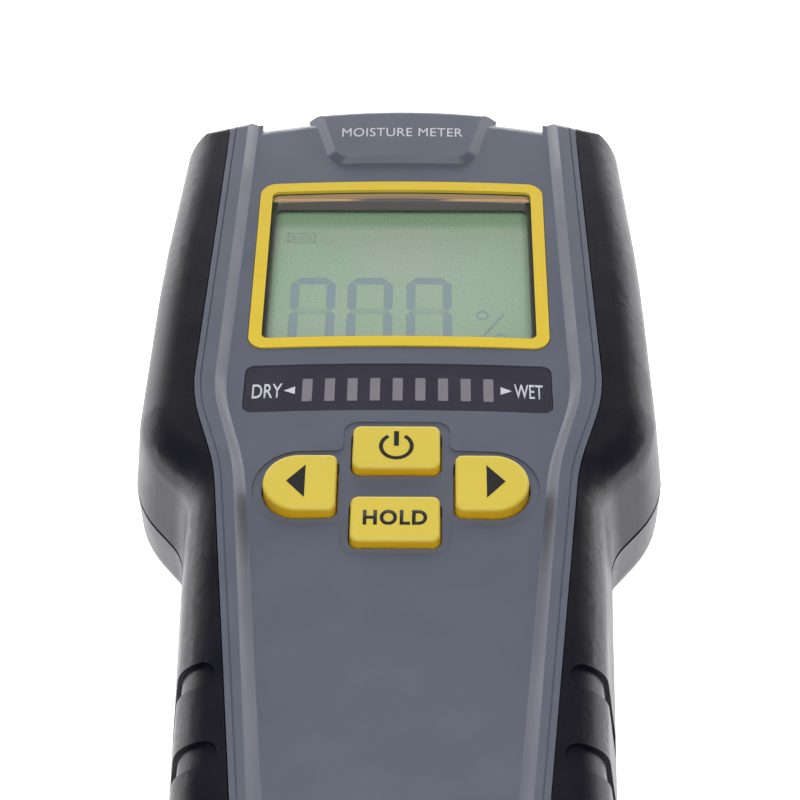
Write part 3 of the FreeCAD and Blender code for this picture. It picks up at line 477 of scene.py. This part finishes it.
def finish_print(bm, surface):
    """Turns flat faces into thin plates whose tops stand just off the surface."""
    bmesh.ops.recalc_face_normals(bm, faces=bm.faces[:])
    for face in bm.faces:
        if face.normal.z < 0:
            face.normal_flip()
    made = bmesh.ops.extrude_face_region(bm, geom=bm.faces[:])
    tops = {g for g in made["geom"] if isinstance(g, bmesh.types.BMVert)}
    for v in bm.verts:
        lift = PRINT if v in tops else PRINT - PRINT_THICKNESS
        v.co.z = surface(v.co.x, v.co.y) + lift
    bmesh.ops.recalc_face_normals(bm, faces=bm.faces[:])


def print_text(name, words, box, surface, material, body, weight=0.0, spacing=1.0):
    """Words fitted to a box (left, right, low, high) and laid on a surface."""
    curve = bpy.data.curves.new(name, "FONT")
    curve.body = words
    curve.offset = weight
    curve.space_character = spacing
    curve.resolution_u = 6
    curve.fill_mode = "FRONT"
    holder = bpy.data.objects.new(name + "_text", curve)
    bpy.context.collection.objects.link(holder)
    bpy.context.view_layer.update()
    mesh = bpy.data.meshes.new_from_object(holder)
    bpy.data.objects.remove(holder)
    bpy.data.curves.remove(curve)
    xs = [v.co.x for v in mesh.vertices]
    ys = [v.co.y for v in mesh.vertices]
    left, right, low, high = box
    wide = (right - left) / (max(xs) - min(xs))
    tall = (high - low) / (max(ys) - min(ys))
    bm = bmesh.new()
    bm.from_mesh(mesh)
    bmesh.ops.remove_doubles(bm, verts=bm.verts[:], dist=1e-5)
    for v in bm.verts:
        v.co = Vector((left + (v.co.x - min(xs)) * wide, low + (v.co.y - min(ys)) * tall, 0.0))
    finish_print(bm, surface)
    bm.to_mesh(mesh)
    bm.free()
    mesh.name = name
    return add_piece(name, mesh, material, body)


def ring_outline(cx, cy, outer, inner, start, end, steps):
    """A band of a circle as quads, from one angle to another in degrees."""
    quads = []
    for i in range(steps):
        a, b = (math.radians(start + (end - start) * (i + k) / steps) for k in (0, 1))
        quads.append([(cx + r * math.cos(t), cy + r * math.sin(t))
                      for r, t in ((inner, a), (outer, a), (outer, b), (inner, b))])
    return quads


def bar(x0, y0, x1, y1, width):
    """A straight bar between two points."""
    along = Vector((x1 - x0, y1 - y0)).normalized()
    side = Vector((-along.y, along.x)) * width / 2
    return [(x0 + side.x, y0 + side.y), (x0 - side.x, y0 - side.y),
            (x1 - side.x, y1 - side.y), (x1 + side.x, y1 + side.y)]


def rounded_rectangle(cx, cy, width, height, radius, steps=5):
    points = []
    for sx, sy, start in ((1, 1, 0), (-1, 1, 90), (-1, -1, 180), (1, -1, 270)):
        for i in range(steps + 1):
            a = math.radians(start + 90 * i / steps)
            points.append((cx + sx * (width / 2 - radius) + radius * math.cos(a),
                           cy + sy * (height / 2 - radius) + radius * math.sin(a)))
    return points


def scaled(polygons, dx=0.0, dy=0.0):
    """Outlines given in millimetres, moved to a place in metres."""
    return [[(x * MM + dx, y * MM + dy) for x, y in outline] for outline in polygons]


# ---- display ------------------------------------------------------------------------------------
def segment(x0, y0, x1, y1, width, gap=0.12):
    """One bar of a seven-bar figure, with pointed ends."""
    a, b = Vector((x0, y0)), Vector((x1, y1))
    along = (b - a).normalized()
    side = Vector((-along.y, along.x)) * width / 2
    a, b = a + along * gap, b - along * gap
    tip = along * width / 2
    return [tuple(p) for p in (a, a + tip - side, b - tip - side, b, b - tip + side, a + tip + side)]


def figure(cx, cy, width, height, bars, stroke=1.35):
    """The lit or unlit bars of a seven-bar figure about its centre."""
    w, h = (width - stroke) / 2, (height - stroke) / 2
    places = {"a": (-w, h, w, h), "b": (w, 0, w, h), "c": (w, -h, w, 0), "d": (-w, -h, w, -h),
              "e": (-w, -h, -w, 0), "f": (-w, 0, -w, h), "g": (-w, 0, w, 0)}
    return [segment(cx + x0, cy + y0, cx + x1, cy + y1, stroke)
            for x0, y0, x1, y1 in (places[b] for b in bars)]


def make_display_print():
    figures = []
    faint = []
    for cx in (-12.95, -4.45, 4.3):
        figures += figure(cx, -5.9, 6.75, 13.9, "abcdef")
        faint += figure(cx, -5.9, 6.75, 13.9, "g", 1.1)
    glass = level(LCD_Z)
    print_polygons("lcd_figures", scaled(figures, 0, DISPLAY_Y), glass, LCD_INK, HOUSING)
    sign = [bar(15.3, -6.4, 11.5, -12.0, 0.35)]
    sign += ring_outline(12.15, -6.7, 0.95, 0.65, 0, 360, 20)
    sign += ring_outline(14.7, -11.4, 0.95, 0.65, 0, 360, 20)
    print_polygons("lcd_percent", scaled(sign, 0, DISPLAY_Y), glass, LCD_INK, HOUSING)
    faint += [bar(-17.3, 10.7, -13.1, 10.7, 0.3), bar(-17.3, 8.7, -13.1, 8.7, 0.3),
              bar(-17.2, 8.7, -17.2, 10.7, 0.3), bar(-13.1, 8.7, -13.1, 10.7, 0.3)]
    faint += [bar(x, 9.15, x, 10.25, 0.7) for x in (-16.4, -15.2, -14.0)]
    print_polygons("lcd_idle_marks", scaled(faint, 0, DISPLAY_Y), glass, LCD_FAINT, HOUSING)


# ---- light bar ----------------------------------------------------------------------------------
STRIP_Y = (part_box("bar_window")[0].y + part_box("bar_window")[1].y) / 2
LED_COUNT, LED_PITCH = 9, 3.15


def make_strip_print():
    top = panel(-STRIP_SINK)
    lenses = [rounded_rectangle((i - (LED_COUNT - 1) / 2) * LED_PITCH, -0.4, 1.4, 4.2, 0.15, 3)
              for i in range(LED_COUNT)]
    print_polygons("bar_lenses", scaled(lenses, 0, STRIP_Y), top, LENS, HOUSING)
    y = STRIP_Y - 0.4 * MM
    half = 1.3 * MM
    for words, left, right in (("DRY", -20.3, -16.1), ("WET", 16.2, 20.2)):
        print_text(words.lower() + "_legend", words, (left * MM, right * MM, y - half, y + half), top,
                   WHITE_PRINT, HOUSING, 0.006)
    arrows = [[(side * 15.85, -0.4), (side * 14.3, -1.1), (side * 14.3, 0.3)] for side in (1, -1)]
    print_polygons("strip_arrows", scaled(arrows, 0, STRIP_Y), top, WHITE_PRINT, HOUSING)


# ---- keys ---------------------------------------------------------------------------------------
def key_frame(name):
    low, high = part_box(name)
    return (low.x + high.x) / 2, (low.y + high.y) / 2, high.z


def make_key_legends():
    x, y, z = key_frame("power_key")
    mark = ring_outline(0, -0.05, 2.35, 1.8, 122, 418, 40)
    mark.append(bar(0, 0.0, 0, 2.6, 0.68))
    print_polygons("power_legend", scaled(mark, x, y), level(z), BLACK_PRINT, "power_key_body")
    x, y, z = key_frame("hold_key")
    print_text("hold_legend", "HOLD", (x - 4.2 * MM, x + 4.2 * MM, y - 1.25 * MM, y + 1.25 * MM),
               level(z), BLACK_PRINT, "hold_key_body", 0.036, 1.15)
    for name, side in (("left", -1), ("right", 1)):
        x, y, z = key_frame(name + "_key")
        arrow = [(side * 1.75, 0.0), (side * -0.75, 2.8), (side * -0.75, -2.8)]
        print_polygons(name + "_legend", scaled([arrow], x, y), level(z), BLACK_PRINT,
                       name + "_key_body")


def make_badge():
    y = DISPLAY_Y + 27.9 * MM
    print_text("badge_legend", "MOISTURE METER", (-9.4 * MM, 9.4 * MM, y - 1.0 * MM, y + 1.0 * MM),
               panel(BADGE_RISE), WHITE_PRINT, HOUSING, 0.0, 1.05)


make_camera()
make_world()
make_floor()
area_light("overhead", (0, -0.08, 0.45), (0, -0.06, 0), 0.34, 1.7)
area_light("front_fill", (0, -0.5, 0.3), (0, 0, 0.02), 0.4, 1.1)
make_display_print()
make_strip_print()
make_key_legends()
make_badge()
bpy.context.scene.view_settings.view_transform = "Standard"
